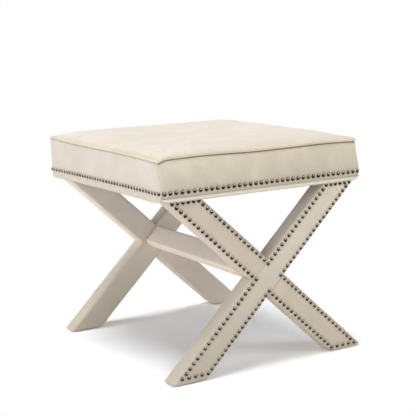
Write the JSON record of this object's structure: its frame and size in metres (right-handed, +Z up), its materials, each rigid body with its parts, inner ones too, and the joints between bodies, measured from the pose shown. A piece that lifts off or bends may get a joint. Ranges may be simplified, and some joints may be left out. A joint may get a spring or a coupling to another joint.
{
  "type": "x frame stool",
  "caption": "Upholstered stool: crowned, boxed seat with a welt on upright X-shaped leg frames, joined at their crossings by a padded stretcher.",
  "frame": {"origin": "on the floor, under the middle of the seat", "axes": "+X along the width of the X frames, +Y from the front X frame to the back one, +Z up"},
  "size_m": [0.494, 0.54, 0.4815],
  "materials": {
    "seat_velvet": "ivory velvet, short cut pile",
    "leg_velvet": "ivory velvet, short cut pile",
    "foam": "open-cell polyurethane foam",
    "softwood": "planed softwood, unfinished",
    "plywood": "sanded plywood",
    "black_cloth": "spun-bonded dust cover cloth",
    "zinc_steel": "bright zinc plate",
    "nail_bronze": "antiqued dark bronze nail heads",
    "nylon": "moulded brown nylon"
  },
  "bodies": {
    "root": {"front_rail": "softwood", "back_rail": "softwood", "left_rail": "softwood", "right_rail": "softwood", "corner_block_1": "softwood", "corner_block_2": "softwood", "corner_block_3": "softwood", "corner_block_4": "softwood", "seat_deck": "plywood", "foam_pad": "foam", "top_panel": "seat_velvet", "welt": "seat_velvet", "boxing_front": "seat_velvet", "boxing_right": "seat_velvet", "boxing_back": "seat_velvet", "boxing_left": "seat_velvet", "dust_cover": "black_cloth", "front_long_leg": "softwood", "front_cross_leg": "softwood", "front_long_sleeve": "leg_velvet", "front_upper_sleeve": "leg_velvet", "front_lower_sleeve": "leg_velvet", "back_long_leg": "softwood", "back_cross_leg": "softwood", "back_long_sleeve": "leg_velvet", "back_upper_sleeve": "leg_velvet", "back_lower_sleeve": "leg_velvet", "glide_1": "nylon", "glide_2": "nylon", "glide_3": "nylon", "glide_4": "nylon", "leg_screw_1": "zinc_steel", "leg_screw_2": "zinc_steel", "leg_screw_3": "zinc_steel", "leg_screw_4": "zinc_steel", "leg_washer_1": "zinc_steel", "leg_washer_2": "zinc_steel", "leg_washer_3": "zinc_steel", "leg_washer_4": "zinc_steel", "stretcher_core": "softwood", "stretcher_sleeve": "leg_velvet", "stretcher_bolt_front": "zinc_steel", "stretcher_bolt_back": "zinc_steel", "barrel_nut_front": "zinc_steel", "barrel_nut_back": "zinc_steel"}
  },
  "joints": []
}
